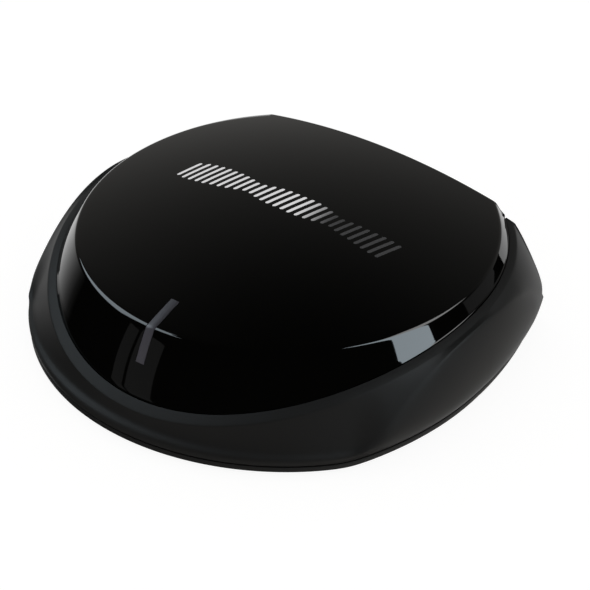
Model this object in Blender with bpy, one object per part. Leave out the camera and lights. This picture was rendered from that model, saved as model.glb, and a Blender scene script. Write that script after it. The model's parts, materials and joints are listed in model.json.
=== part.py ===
"""Wireless audio receiver: a small desktop unit with a glossy domed cover on a matte housing.

Units in this file are millimetres until a mesh is made. The origin is on the resting
surface, under the middle of the unit. +X is to the right, +Y to the back, +Z up.
Plan shapes are measured from the middle of the cover's edge circle, which lies AXIS_Y
behind the origin, and angles run anticlockwise from +X, so the front is at -90 degrees.
"""

from math import cos, pi, radians, sin, sqrt

import bmesh
import bpy
from mathutils import Matrix, Vector

MM = 0.001
GAP = 0.3                   # clearance between neighbouring pieces

# Driving dimensions
EDGE_R = 30.0               # the circle where the cover's dome turns into its skirt
REAR_Y = 22.2               # flat back of the unit, behind the edge circle's middle
FRONT_R = 37.25             # round front of the base
BUTTON_PROUD = 0.6          # the pair button stands out of the back
FOOT_PROUD = 0.8            # the feet stand out of the base
AXIS_Y = (FRONT_R - REAR_Y - BUTTON_PROUD) / 2
EDGE_Z = FOOT_PROUD + 14.85  # height of the edge circle
DOME_RISE = 4.35            # dome above the edge circle
TILT = 0.0296               # rise of the edge circle towards the back, per mm
COVER_WALL = 1.6
TONGUE = 0.8                # the skirt reaches this far into the housing
STATIONS = 64               # points round each outline

# Housing
WALL = 1.8
SEAM_Z = 1.9                # underside of the housing, above the base plate's rim
ARCH_TOP = 0.089 * EDGE_R   # the flank line's crown, below the edge circle
ARCH_DROP = 0.56 / EDGE_R   # fall of the flank line along the side
ARCH_FLOOR = 0.405 * EDGE_R  # where the flank line runs along the front
BACK_BULGE = 1.25             # the flank's fullness at the back
FRONT_HOLLOW = 0.16           # the flank's hollow at the front
LEDGE_DEPTH = TONGUE + GAP
LEDGE_THICK = 1.4
BOSS_TOP = 7.8              # the front screw bosses hang from the ledge

# Base plate and what stands on it
BASE_Z = FOOT_PROUD
RIM_TOP = SEAM_Z - GAP
PLATE_TOP = 2.4
PLATE_INSET = 2.6             # the raised middle of the base plate, inside the housing's wall
BOARD_Z = 4.6               # underside of the main board
BOARD_TOP = BOARD_Z + 1.6
BOARD_R = 29.8
MOUNTED = BOARD_TOP + GAP   # underside of what is soldered on the board

INDICATOR_W = 1.4
INDICATOR_TOP_LEN = 5.25    # on the dome, inwards from the edge
INDICATOR_DROP = 4.4        # on the skirt, down from the edge

# Places from the edge circle's middle (x, y)
BOSSES = [(-22.6, -22.6), (22.6, -22.6), (-27.6, 15.4), (27.6, 15.4)]
FEET = [(-17.0, -25.5), (17.0, -25.5), (-21.5, 14.5), (21.5, 14.5)]
BOARD_POSTS = [(-12.5, -20.5), (12.5, -20.5), (-23.0, 6.5), (23.0, 6.5)]
FOOT_R = 4.0
DC_X, OPTICAL_X, AUDIO_X, BUTTON_X = 15.0, 3.2, -8.2, -17.0
AUDIO_HOLE_R, DC_HOLE_R, BUTTON_HOLE_R = 3.4, 3.2, 2.3
BOSS_R, POST_R, PILOT_R = 2.6, 2.3, 1.3
LABEL_SIZE = (30.0, 16.0)

PALETTE = {
    "piano_black": ((0.006, 0.006, 0.007, 1), 0.06, 0.0),
    "matte_black": ((0.022, 0.022, 0.024, 1), 0.55, 0.0),
    "indicator": ((0.33, 0.32, 0.36, 1), 0.35, 0.0),
    "acrylic": ((0.80, 0.82, 0.84, 1), 0.15, 0.0),
    "board_green": ((0.02, 0.13, 0.06, 1), 0.40, 0.0),
    "steel": ((0.55, 0.55, 0.56, 1), 0.35, 1.0),
    "tin": ((0.62, 0.62, 0.60, 1), 0.30, 1.0),
    "brass": ((0.78, 0.60, 0.30, 1), 0.25, 1.0),
    "copper": ((0.72, 0.38, 0.22, 1), 0.30, 1.0),
    "chip_black": ((0.02, 0.02, 0.02, 1), 0.50, 0.0),
    "ferrite": ((0.09, 0.09, 0.10, 1), 0.70, 0.0),
    "rubber": ((0.03, 0.03, 0.03, 1), 0.85, 0.0),
    "label_grey": ((0.50, 0.50, 0.50, 1), 0.50, 0.0),
    "film_amber": ((0.45, 0.24, 0.06, 1), 0.35, 0.0),
    "white_plastic": ((0.80, 0.80, 0.78, 1), 0.40, 0.0),
    "red_lens": ((0.60, 0.05, 0.04, 1), 0.20, 0.0),
}


# Scene and mesh helpers

def clear_scene():
    for obj in list(bpy.data.objects):
        bpy.data.objects.remove(obj)


def material(name):
    found = bpy.data.materials.get(name)
    if found:
        return found
    color, roughness, metallic = PALETTE[name]
    made = bpy.data.materials.new(name)
    made.use_nodes = True
    shader = made.node_tree.nodes["Principled BSDF"]
    shader.inputs["Base Color"].default_value = color
    shader.inputs["Roughness"].default_value = roughness
    shader.inputs["Metallic"].default_value = metallic
    return made


def add_mesh(name, mesh, mat, origin=(0, 0, 0)):
    """Link an object whose mesh points are in metres from the unit's origin."""
    mesh.transform(Matrix.Translation(-Vector(origin)))
    mesh.shade_smooth()
    mesh.set_sharp_from_angle(angle=radians(35))
    obj = bpy.data.objects.new(name, mesh)
    obj.location = origin
    if mat:
        obj.data.materials.append(material(mat))
    bpy.context.scene.collection.objects.link(obj)
    return obj


def from_bmesh(name, bm, mat, origin=(0, 0, 0)):
    """Points of bm are in mm from the edge circle's middle, at the resting surface's height."""
    bmesh.ops.recalc_face_normals(bm, faces=bm.faces)
    bm.transform(Matrix.Scale(MM, 4) @ Matrix.Translation((0, AXIS_Y, 0)))
    mesh = bpy.data.meshes.new(name)
    bm.to_mesh(mesh)
    bm.free()
    return add_mesh(name, mesh, mat, origin)


def from_faces(name, points, faces, mat):
    bm = bmesh.new()
    made = [bm.verts.new(p) for p in points]
    for face in faces:
        bm.faces.new([made[i] for i in face])
    return from_bmesh(name, bm, mat)


def loft(name, rings, mat):
    """A closed solid through rings of equal length; a ring of one point closes an end."""
    points, starts = [], []
    for ring in rings:
        starts.append(len(points))
        points.extend(ring)
    faces = []
    for k, (low, high) in enumerate(zip(rings, rings[1:])):
        a, b = starts[k], starts[k + 1]
        count = max(len(low), len(high))
        for i in range(count):
            j = (i + 1) % count
            if len(low) == 1:
                faces.append((a, b + j, b + i))
            elif len(high) == 1:
                faces.append((a + i, a + j, b))
            else:
                faces.append((a + i, a + j, b + j, b + i))
    for start, ring in ((starts[0], rings[0]), (starts[-1], rings[-1])):
        if len(ring) > 1:
            faces.append(tuple(range(start, start + len(ring))))
    return from_faces(name, points, faces, mat)


def box(name, low, high, mat=None, bevel=0.0):
    bm = bmesh.new()
    bmesh.ops.create_cube(bm, size=1.0)
    size = Vector(high) - Vector(low)
    middle = (Vector(high) + Vector(low)) / 2
    bm.transform(Matrix.Translation(middle) @ Matrix.Diagonal((*size, 1.0)))
    if bevel:
        bmesh.ops.bevel(bm, geom=bm.edges[:], offset=bevel, segments=1, affect="EDGES")
    return from_bmesh(name, bm, mat)


def standing_box(name, middle_xy, size, z, mat, bevel=0.0):
    """A box of size (x, y, height) standing at height z."""
    (x, y), (dx, dy, dz) = middle_xy, size
    return box(name, (x - dx / 2, y - dy / 2, z), (x + dx / 2, y + dy / 2, z + dz), mat, bevel)


def turned(name, profile, centre, axis="Z", mat=None, sides=24, origin=None):
    """A turned solid. profile lists (radius, along) pairs from one end on the axis to the other."""
    rings = []
    for radius, along in profile:
        if radius == 0:
            ring = [(0.0, 0.0, along)]
        else:
            turns = [2 * pi * i / sides for i in range(sides)]
            ring = [(radius * cos(a), radius * sin(a), along) for a in turns]
        if axis == "Y":
            ring = [(x, z, y) for x, y, z in ring]
        rings.append([tuple(c + p for c, p in zip(centre, point)) for point in ring])
    obj = loft(name, rings, mat)
    if origin:
        move_origin(obj, origin)
    return obj


def rod(name, centre, radius, start, end, axis="Z", mat=None, sides=24):
    """A round bar from start to end along its axis; centre's own value on that axis is 0."""
    return turned(name, [(0, start), (radius, start), (radius, end), (0, end)], centre, axis, mat, sides)


def extruded(name, yz, half_width, mat, middle_x=0.0):
    """A side-view outline of (y, z) points, extruded across X."""
    count = len(yz)
    points = [(middle_x - half_width, y, z) for y, z in yz]
    points += [(middle_x + half_width, y, z) for y, z in yz]
    faces = [tuple(range(count)), tuple(range(2 * count - 1, count - 1, -1))]
    for i in range(count):
        j = (i + 1) % count
        faces.append((i, j, count + j, count + i))
    return from_faces(name, points, faces, mat)


def move_origin(obj, place):
    """Put the object's origin on place (mm), leaving its mesh where it is."""
    target = Vector((place[0], place[1] + AXIS_Y, place[2])) * MM
    obj.data.transform(Matrix.Translation(obj.location - target))
    obj.location = target


def as_tool(obj):
    obj.hide_render = True
    obj.display_type = "WIRE"
    return obj


def combine(obj, tool, operation):
    modifier = obj.modifiers.new(operation.title(), "BOOLEAN")
    modifier.operation = operation
    modifier.object = as_tool(tool)


def cut(obj, *tools):
    for tool in tools:
        combine(obj, tool, "DIFFERENCE")


def merge(obj, *tools):
    for tool in tools:
        combine(obj, tool, "UNION")


# The unit's surfaces, as radius and height at an angle

def smooth_min(a, b, width):
    return (a + b - sqrt((a - b) ** 2 + width ** 2)) / 2


def smooth_max(a, b, width):
    return (a + b + sqrt((a - b) ** 2 + width ** 2)) / 2


def mixed(a, b, share):
    return a + (b - a) * share


def plan_radius(angle, half_width, front_bow, rear_bow, widest_y):
    """Where the ray at this angle meets the side curve x = half_width - bow * (y - widest_y)^2."""
    across, back = abs(cos(angle)), sin(angle)
    bow = (rear_bow if back > 0 else front_bow) / EDGE_R
    a = bow * back * back
    b = across - 2 * bow * back * widest_y
    c = bow * widest_y ** 2 - half_width
    if a < 1e-6:
        return -c / b
    return (sqrt(b * b - 4 * a * c) - b) / (2 * a)


def skirt_radius(depth):
    d = depth / EDGE_R
    return EDGE_R * (1 + 0.65 * d - 0.6 * d * d)


def forwardness(y):
    """0 behind the middle, about 1.1 at the front edge, with a soft start."""
    s = -y / EDGE_R
    return smooth_max(s, 0.0, 0.2)


def rim_depth(y):
    """How far the cover's lower edge lies below its upper edge."""
    s = forwardness(y)
    return EDGE_R * (0.064 + 0.075 * s + 0.04 * s ** 2 + 0.06 * s ** 3)


def cover_rim(angle):
    """(radius, height, depth) of the cover's lower edge."""
    radius = EDGE_R
    for _ in range(30):
        depth = rim_depth(radius * sin(angle))
        radius = skirt_radius(depth)
    return radius, EDGE_Z + TILT * radius * sin(angle) - depth, depth


def band_edge(angle):
    """Outer edge of the housing's top band."""
    radius, height, _ = cover_rim(angle)
    share = min(forwardness(radius * sin(angle)) / 1.13, 1.0)
    return radius + mixed(1.15, 1.5, share), height - mixed(0.35, 0.93, share)


def flank_line(angle):
    """The crease that arches along each side and runs low round the front."""
    side = plan_radius(angle, 1.110 * EDGE_R, 0.17, 0.24, 0.0)
    front = EDGE_R * (1.203 + 0.03 * cos(angle) ** 2)
    radius = smooth_min(side, front, 0.4)
    arch = -ARCH_TOP - ARCH_DROP * (radius * sin(angle)) ** 2
    return radius, EDGE_Z + smooth_max(arch, -ARCH_FLOOR, 0.6)


def seam_radius(angle):
    side = plan_radius(angle, 1.115 * EDGE_R, 0.33, 0.236, -0.1 * EDGE_R)
    return min(smooth_min(side, FRONT_R, 0.5) + 0.003, FRONT_R)


def facet_point(angle, t):
    """The surface under the flank line: straight at the front, full at the sides."""
    top_r, top_z = flank_line(angle)
    low_r = seam_radius(angle)
    height = top_z - SEAM_Z
    fullness = min(max((height - 1.0) / 1.3, 0.0), 1.0)
    fullness = fullness * fullness * (3 - 2 * fullness)
    step = (low_r - top_r) / 3
    r1 = top_r + mixed(step, 0.42 * height / 3 + 0.15, fullness)
    z1 = top_z - height / 3
    r2 = low_r + mixed(-step, 2.25 - 1.4 * sin(angle) ** 2, fullness)
    z2 = SEAM_Z + mixed(height / 3, 1.95, fullness)
    u = 1 - t
    weights = (u ** 3, 3 * u * u * t, 3 * u * t * t, t ** 3)
    radius = sum(w * r for w, r in zip(weights, (top_r, r1, r2, low_r)))
    return radius, sum(w * z for w, z in zip(weights, (top_z, z1, z2, SEAM_Z)))


def dome_height(x, y):
    share = (x * x + y * y) / EDGE_R ** 2
    return EDGE_Z + DOME_RISE * (1 - share) + TILT * y


def angles():
    return [2 * pi * i / STATIONS for i in range(STATIONS)]


def ring(surface):
    """One loop of points from a function of the angle that gives (radius, height)."""
    made = []
    for angle in angles():
        radius, height = surface(angle)
        made.append((radius * cos(angle), radius * sin(angle), height))
    return made


def dome_ring(radius, below=0.0):
    return ring(lambda a: (radius, dome_height(radius * cos(a), radius * sin(a)) - below))


def behind(name, y):
    """Everything behind the plane at y."""
    return box(name, (-60, y, -20), (60, y + 60, 60))


# Cover, indicator and light guide

def skirt_ring(share, inset=0.0):
    def surface(angle):
        rim_r, _, rim_d = cover_rim(angle)
        depth = rim_d * share
        radius = skirt_radius(depth)
        return radius - inset, EDGE_Z + TILT * radius * sin(angle) - depth
    return ring(surface)


def make_cover():
    inner_r = EDGE_R - COVER_WALL
    rings = [[(0, 0, dome_height(0, 0))]]
    rings += [dome_ring(r) for r in (6, 12, 18, 23, 27, 29.2)]
    rings += [skirt_ring(share) for share in (0.0, 0.25, 0.5, 0.75, 1.0)]
    rings.append(ring(lambda a: (cover_rim(a)[0], cover_rim(a)[1] - TONGUE)))
    rings.append(ring(lambda a: (cover_rim(a)[0] - COVER_WALL, cover_rim(a)[1] - TONGUE)))
    rings.append(ring(lambda a: (cover_rim(a)[0] - COVER_WALL, cover_rim(a)[1])))
    rings.append(skirt_ring(0.5, COVER_WALL))
    rings += [dome_ring(r, COVER_WALL) for r in (inner_r, 24, 18, 12, 6)]
    rings.append([(0, 0, dome_height(0, 0) - COVER_WALL)])
    cover = loft("top_cover", rings, "piano_black")
    slot_half = INDICATOR_W / 2 + GAP
    front_z = EDGE_Z - TILT * EDGE_R
    slot = box("indicator_slot",
               (-slot_half, -EDGE_R - 10, front_z - INDICATOR_DROP - GAP),
               (slot_half, -EDGE_R + INDICATOR_TOP_LEN + GAP, 30))
    cut(cover, behind("cover_back_cut", REAR_Y), slot)
    return cover


def indicator_outline(offset, top_len, drop):
    """Side-view points on the dome and down the skirt, offset into the cover."""
    points = []
    for share in (0.0, 0.35, 0.7, 1.0):
        y = -EDGE_R + top_len * (1 - share) + offset * share
        points.append((y, dome_height(0, y) - offset))
    for share in (0.3, 0.65, 1.0):
        depth = drop * share
        radius = skirt_radius(depth) - offset
        points.append((-radius, EDGE_Z - TILT * EDGE_R - depth))
    return points


def make_indicator():
    outer = indicator_outline(0.0, INDICATOR_TOP_LEN, INDICATOR_DROP)
    inner = indicator_outline(COVER_WALL, INDICATOR_TOP_LEN, INDICATOR_DROP)
    extruded("indicator_lens", outer + inner[::-1], INDICATOR_W / 2, "indicator")
    guide_top = indicator_outline(COVER_WALL + GAP, INDICATOR_TOP_LEN - 0.6, 0.6)[:4]
    guide = guide_top + [(-27.4, MOUNTED + 1.2), (-25.6, MOUNTED + 1.2)]
    extruded("light_guide", guide, 0.9, "acrylic")
    standing_box("status_led", (0, -26.5), (0.9, 1.6, 0.7), MOUNTED - 0.2, "white_plastic")


# Housing

def make_housing_solid():
    """The housing's outer volume, filled up to the underside of the cover."""
    inner_r = EDGE_R - COVER_WALL - GAP
    below = COVER_WALL + GAP
    rings = [ring(lambda a: (seam_radius(a), SEAM_Z))]
    for t in (0.88, 0.74, 0.6, 0.45, 0.3, 0.15):
        rings.append(ring(lambda a, t=t: facet_point(a, t)))
    rings.append(ring(flank_line))
    rings.append(ring(flank_middle))
    rings.append(ring(band_edge))
    for inset, drop in ((-GAP, 0), (-GAP, LEDGE_DEPTH), (COVER_WALL + GAP, LEDGE_DEPTH)):
        rings.append(ring(lambda a, i=inset, d=drop: (cover_rim(a)[0] - i, cover_rim(a)[1] - d)))
    rings += [dome_ring(r, below) for r in (inner_r, 22, 14, 6)]
    rings.append([(0, 0, dome_height(0, 0) - below)])
    return loft("housing", rings, "matte_black")


def flank_middle(angle):
    """Between the flank line and the band: hollow at the front, full at the back."""
    (r1, z1), (r2, z2) = flank_line(angle), band_edge(angle)
    bulge = BACK_BULGE if sin(angle) > 0 else FRONT_HOLLOW
    bulge *= sin(angle) * min(abs(z2 - z1) / 3, 1.0)
    return (r1 + r2) / 2 + bulge, (z1 + z2) / 2


def ledge_under(angle):
    return cover_rim(angle)[1] - LEDGE_DEPTH - LEDGE_THICK


def make_cavity():
    """The space inside the housing, open below and, inside the ledge, above."""
    def wall(angle):
        radius, height = facet_point(angle, 0.5)
        return radius - WALL, mixed(SEAM_Z, ledge_under(angle), 0.5)
    rings = [ring(lambda a: (seam_radius(a) - WALL, -5)),
             ring(lambda a: (seam_radius(a) - WALL, SEAM_Z)),
             ring(wall),
             ring(lambda a: (band_edge(a)[0] - WALL, ledge_under(a))),
             ring(lambda a: (cover_rim(a)[0] - COVER_WALL - GAP, ledge_under(a))),
             ring(lambda a: (cover_rim(a)[0] - COVER_WALL - GAP, 40))]
    cavity = loft("housing_cavity", rings, None)
    cut(cavity, behind("cavity_back_cut", REAR_Y - WALL))
    return cavity


def make_housing():
    housing = make_housing_solid()
    cut(housing, behind("housing_back_cut", REAR_Y), make_cavity())
    for i, (x, y) in enumerate(BOSSES):
        merge(housing, rod(f"boss_{i}", (x, y, 0), BOSS_R, PLATE_TOP + GAP, BOSS_TOP, sides=20))
    for i, (x, y) in enumerate(BOSSES):
        cut(housing, rod(f"pilot_{i}", (x, y, 0), PILOT_R, 0, BOSS_TOP - 0.8, sides=16))
    back, inside = REAR_Y + 2, REAR_Y - WALL - 1
    audio_z, dc_z, button_z = port_heights()
    low, high = optical_box(GAP)
    cut(housing,
        rod("audio_hole", (AUDIO_X, 0, audio_z), AUDIO_HOLE_R, inside, back, "Y"),
        rod("dc_hole", (DC_X, 0, dc_z), DC_HOLE_R, inside, back, "Y"),
        rod("button_hole", (BUTTON_X, 0, button_z), BUTTON_HOLE_R, inside, back, "Y"),
        box("optical_hole", (low[0], inside, low[2]), (high[0], back, high[2])))
    return housing


# Base plate, feet, screws and label

def make_base_plate():
    steps = [(0.25, BASE_Z), (0.0, BASE_Z + 0.25), (0.0, RIM_TOP),
             (PLATE_INSET, RIM_TOP), (PLATE_INSET, PLATE_TOP)]
    rings = [ring(lambda a, i=inset, z=z: (seam_radius(a) - i, z)) for inset, z in steps]
    plate = loft("base_plate", rings, "matte_black")
    cut(plate, behind("plate_back_cut", REAR_Y),
        box("plate_back_step", (-60, REAR_Y - WALL - GAP, RIM_TOP), (60, REAR_Y + 5, 10)))
    for i, (x, y) in enumerate(BOARD_POSTS):
        merge(plate, rod(f"post_{i}", (x, y, 0), POST_R, PLATE_TOP - 0.4, BOARD_Z - GAP, sides=20))
        cut(plate, rod(f"post_hole_{i}", (x, y, 0), 1.2, PLATE_TOP - 0.5, BOARD_Z + 1, sides=16))
    for i, (x, y) in enumerate(BOSSES):
        cut(plate, rod(f"counterbore_{i}", (x, y, 0), 2.2, 0, 1.7, sides=24),
            rod(f"through_{i}", (x, y, 0), PILOT_R, 1, 5, sides=16))
    for i, (x, y) in enumerate(FEET):
        cut(plate, rod(f"foot_recess_{i}", (x, y, 0), FOOT_R + 0.2, 0, 1.3, sides=32))
    half_x, half_y = (size / 2 + GAP for size in LABEL_SIZE)
    cut(plate, box("label_recess", (-half_x, -half_y, 0), (half_x, half_y, 1.2)))
    return plate


def make_feet():
    for i, (x, y) in enumerate(FEET):
        profile = [(0, 0.0), (FOOT_R - 0.4, 0.0), (FOOT_R, 0.35), (FOOT_R, 1.0), (0, 1.0)]
        turned(f"foot_{i + 1}", profile, (x, y, 0), "Z", "rubber", 28)


def make_screw(name, place, head, shank, mat):
    """A cross-recess screw: head is (radius, z under, z face), shank is (radius, z tip)."""
    (x, y), (head_r, under, face), (shank_r, tip) = place, head, shank
    outward = 1 if face > under else -1
    rim = face - outward * 0.2
    profile = [(0, tip), (shank_r * 0.6, tip), (shank_r, tip + outward * 0.6), (shank_r, under),
               (head_r, under), (head_r, rim), (head_r - 0.25, face), (0, face)]
    screw = turned(name, profile, (x, y, 0), "Z", mat, 16)
    depth, reach = 0.4, head_r * 0.62
    low, high = sorted((face - outward * depth, face + outward))
    arm = 0.2
    cross = box(name + "_recess_x", (x - reach, y - arm, low), (x + reach, y + arm, high))
    other = box(name + "_recess_y", (x - arm, y - reach, low), (x + arm, y + reach, high))
    cut(screw, cross, other)


def make_screws():
    for i, place in enumerate(BOSSES):
        make_screw(f"base_screw_{i + 1}", place, (1.9, 1.4, 0.85), (1.0, BOSS_TOP - 1.1), "steel")
    for i, place in enumerate(BOARD_POSTS):
        make_screw(f"board_screw_{i + 1}", place, (1.7, MOUNTED, MOUNTED + 0.9), (0.9, 2.5), "steel")


def make_label():
    half_x, half_y = (size / 2 for size in LABEL_SIZE)
    box("rating_label", (-half_x, -half_y, 0.85), (half_x, half_y, 1.0), "label_grey")


# Connectors in the back

def port_heights():
    """Heights of the audio jack's, the supply jack's and the button's axes."""
    return MOUNTED + 3.0, MOUNTED + 3.2, MOUNTED + 3.0


def optical_box(grow=0.0):
    x, low_z = OPTICAL_X, MOUNTED
    low = (x - 4.7 - grow, 9.4, low_z - grow)
    high = (x + 4.7 + grow, REAR_Y - 0.3, low_z + 9.0 + grow)
    return low, high


def make_audio_jack():
    z = port_heights()[0]
    inner = REAR_Y - WALL - GAP
    jack = box("audio_jack", (AUDIO_X - 3.3, 8.6, MOUNTED), (AUDIO_X + 3.3, inner, MOUNTED + 6.0),
               "chip_black", 0.25)
    merge(jack, rod("audio_nose", (AUDIO_X, 0, z), 2.8, inner - 1, REAR_Y - 0.4, "Y", sides=28))
    cut(jack, rod("audio_bore", (AUDIO_X, 0, z), 1.8, 9.8, REAR_Y + 2, "Y", sides=24))
    face = REAR_Y - 0.1
    profile = [(1.85, face), (3.05, face), (3.05, face + 0.25), (2.75, face + 0.5), (2.1, face + 0.5),
               (1.85, face + 0.25), (1.85, face)]
    hoop("audio_jack_ring", profile, (AUDIO_X, 0, z), "tin")
    for side, label in ((-1, "left"), (1, "right")):
        x = AUDIO_X + side * (3.3 + GAP)
        low, high = sorted((x, x + side * 0.3))
        box(f"audio_contact_{label}", (low, 10.5, MOUNTED + 0.4), (high, 17.5, MOUNTED + 3.6), "brass")


def hoop(name, profile, centre, mat, sides=28):
    """A turned ring about Y from a closed (radius, along) profile."""
    loop = profile[:-1]
    points, faces = [], []
    for i in range(sides):
        a = 2 * pi * i / sides
        for radius, along in loop:
            points.append((centre[0] + radius * cos(a), along, centre[2] + radius * sin(a)))
    count = len(loop)
    for i in range(sides):
        j = (i + 1) % sides
        for k in range(count):
            m = (k + 1) % count
            faces.append((i * count + k, i * count + m, j * count + m, j * count + k))
    return from_faces(name, points, faces, mat)


def make_dc_jack():
    z = port_heights()[1]
    inner = REAR_Y - WALL - GAP
    jack = box("dc_jack", (DC_X - 3.4, 10.6, MOUNTED), (DC_X + 3.4, inner, MOUNTED + 6.4),
               "chip_black", 0.25)
    merge(jack, rod("dc_nose", (DC_X, 0, z), 2.9, inner - 1, REAR_Y - 0.3, "Y", sides=28))
    cut(jack, rod("dc_bore", (DC_X, 0, z), 1.9, 12.2, REAR_Y + 2, "Y", sides=24))
    profile = [(0, 12.5), (0.62, 12.5), (0.62, 20.4), (0.3, 20.9), (0, 20.9)]
    turned("dc_jack_pin", profile, (DC_X, 0, z), "Y", "tin", 16)
    box("dc_jack_spring", (DC_X + 3.4 + GAP, 12, MOUNTED + 0.4), (DC_X + 4.0, 17, MOUNTED + 4.0), "tin")


def make_optical_jack():
    low, high = optical_box()
    jack = box("optical_jack", low, high, "chip_black", 0.25)
    x, z = OPTICAL_X, MOUNTED + 4.5
    cut(jack, box("optical_socket", (x - 3.3, 12.9, z - 3.3), (x + 3.3, REAR_Y + 2, z + 3.3)))
    pivot_y, pivot_z = 20.9, z + 2.35
    door = extruded("optical_shutter", [(pivot_y + 0.4, pivot_z + 0.2), (pivot_y + 0.4, z - 2.95),
                                        (pivot_y - 0.3, z - 2.95), (pivot_y - 0.3, pivot_z + 0.2)],
                    2.95, "chip_black", x)
    barrel = [(0, -2.95), (0.75, -2.95), (0.75, 2.95), (0, 2.95)]
    merge(door, cross_rod("shutter_barrel", barrel, (x, pivot_y, pivot_z)))
    bore = [(0, -4), (0.45, -4), (0.45, 4), (0, 4)]
    cut(door, cross_rod("shutter_bore", bore, (x, pivot_y, pivot_z)))
    move_origin(door, (x, pivot_y, pivot_z))
    pin = [(0, -3.15), (0.3, -3.15), (0.3, 3.15), (0, 3.15)]
    cross_rod("shutter_pin", pin, (x, pivot_y, pivot_z), "steel")
    turned("optical_emitter", [(0, 13.2), (1.6, 13.2), (1.6, 14.2), (0.9, 14.2), (0.6, 15.0), (0, 15.2)],
           (x, 0, z), "Y", "red_lens", 16)


def cross_rod(name, profile, centre, mat=None):
    """A turned piece along X."""
    rings = []
    for radius, along in profile:
        turns = [2 * pi * i / 16 for i in range(16 if radius else 1)]
        rings.append([(centre[0] + along, centre[1] + radius * cos(a), centre[2] + radius * sin(a))
                      for a in turns])
    return loft(name, rings, mat)


def make_pair_button():
    z = port_heights()[2]
    centre = (BUTTON_X, 0, z)
    inner = REAR_Y - WALL - GAP
    face = REAR_Y + BUTTON_PROUD
    profile = [(0, inner - 1.2), (1.2, inner - 1.2), (1.2, inner - 0.7), (2.8, inner - 0.7),
               (2.8, inner), (2.0, inner), (2.0, face - 0.3), (1.7, face), (1.2, face - 0.12),
               (0, face - 0.2)]
    turned("pair_button", profile, centre, "Y", "matte_black", 24, (BUTTON_X, inner, z))
    front = inner - 1.2 - GAP
    body_front = front - 1.3
    switch = box("pair_switch", (BUTTON_X - 3, body_front - 4, MOUNTED),
                 (BUTTON_X + 3, body_front, MOUNTED + 5.0), "chip_black", 0.2)
    cut(switch, rod("switch_well", centre, 1.2, body_front - 1.8, body_front + 2, "Y", sides=16))
    plunger = [(0, body_front - 1.1), (0.9, body_front - 1.1), (0.9, front), (0, front)]
    turned("pair_switch_plunger", plunger, centre, "Y", "white_plastic", 16, (BUTTON_X, front, z))


# Main board and its components

def make_main_board():
    board = rod("main_board", (0, 0, 0), BOARD_R, BOARD_Z, BOARD_TOP, mat="board_green", sides=STATIONS)
    cut(board, behind("board_back_cut", REAR_Y - WALL - GAP))
    for i, (x, y) in enumerate(BOSSES):
        cut(board, rod(f"board_notch_{i}", (x, y, 0), 2.9, 0, 20, sides=20))
    for i, (x, y) in enumerate(BOARD_POSTS):
        cut(board, rod(f"board_hole_{i}", (x, y, 0), 1.2, 0, 20, sides=16))


def make_components():
    standing_box("radio_module_board", (-10.6, -8.5), (13.4, 19, 0.8), MOUNTED, "board_green")
    standing_box("radio_shield_can", (-10.6, -6.2), (11.4, 12.4, 1.8), MOUNTED + 0.8 + GAP, "tin", 0.25)
    standing_box("radio_antenna", (-10.6, -15.6), (7.0, 2.0, 0.9), MOUNTED + 0.8 + GAP, "white_plastic")
    standing_box("audio_converter_chip", (4, -6), (6.0, 6.0, 0.9), MOUNTED, "chip_black", 0.12)
    standing_box("line_driver_chip", (-8.2, 5.2), (5.0, 4.0, 1.5), MOUNTED, "chip_black", 0.2)
    standing_box("tag_reader_chip", (4, -16), (5.0, 5.0, 0.9), MOUNTED, "chip_black", 0.12)
    standing_box("crystal", (11.5, -7), (5.0, 3.2, 1.1), MOUNTED, "tin", 0.2)
    standing_box("voltage_regulator", (16.5, 5.4), (6.5, 3.6, 1.7), MOUNTED, "chip_black", 0.2)
    standing_box("power_inductor", (18.8, -3), (5.2, 5.2, 2.8), MOUNTED, "ferrite", 0.4)
    for i, (x, y, radius) in enumerate(((4, 4.4, 3.15), (10.8, 1.0, 3.15), (-1.0, 0.2, 2.5))):
        profile = [(0, MOUNTED), (radius, MOUNTED), (radius, MOUNTED + 4.9),
                   (radius - 0.4, MOUNTED + 5.3), (0, MOUNTED + 5.3)]
        turned(f"capacitor_{i + 1}", profile, (x, y, 0), "Z", "tin", 20)


def spiral_strip(name, centre, z, first_r, pitch, turns, width, height, mat):
    """A flat spiral strip, as an antenna loop's winding."""
    steps = int(turns * 28)
    points, faces = [], []
    for i in range(steps + 1):
        a = 2 * pi * turns * i / steps
        r = first_r + pitch * turns * i / steps
        for side, level in ((0, 0), (width, 0), (width, height), (0, height)):
            points.append((centre[0] + (r + side) * cos(a), centre[1] + (r + side) * sin(a), z + level))
    for i in range(steps):
        p, q = 4 * i, 4 * i + 4
        for k in range(4):
            m = (k + 1) % 4
            faces.append((p + k, p + m, q + m, q + k))
    faces += [(0, 1, 2, 3), tuple(4 * steps + k for k in (3, 2, 1, 0))]
    return from_faces(name, points, faces, mat)


def make_loop_antenna():
    """The short-range loop under the dome, which a phone touches to pair."""
    top = EDGE_Z + 1.3
    middle = (0, 1.0)
    rod("antenna_film", (*middle, 0), 12.5, top, top + 0.2, mat="film_amber", sides=36)
    spiral_strip("antenna_loop", middle, top - 0.3 - 0.2, 7.5, 1.2, 3.5, 0.6, 0.2, "copper")
    rod("ferrite_sheet", (*middle, 0), 12.5, top - 1.1, top - 0.8, mat="ferrite", sides=36)


def main():
    clear_scene()
    make_cover()
    make_indicator()
    make_housing()
    make_base_plate()
    make_feet()
    make_screws()
    make_label()
    make_audio_jack()
    make_dc_jack()
    make_optical_jack()
    make_pair_button()
    make_main_board()
    make_components()
    make_loop_antenna()


main()
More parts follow.
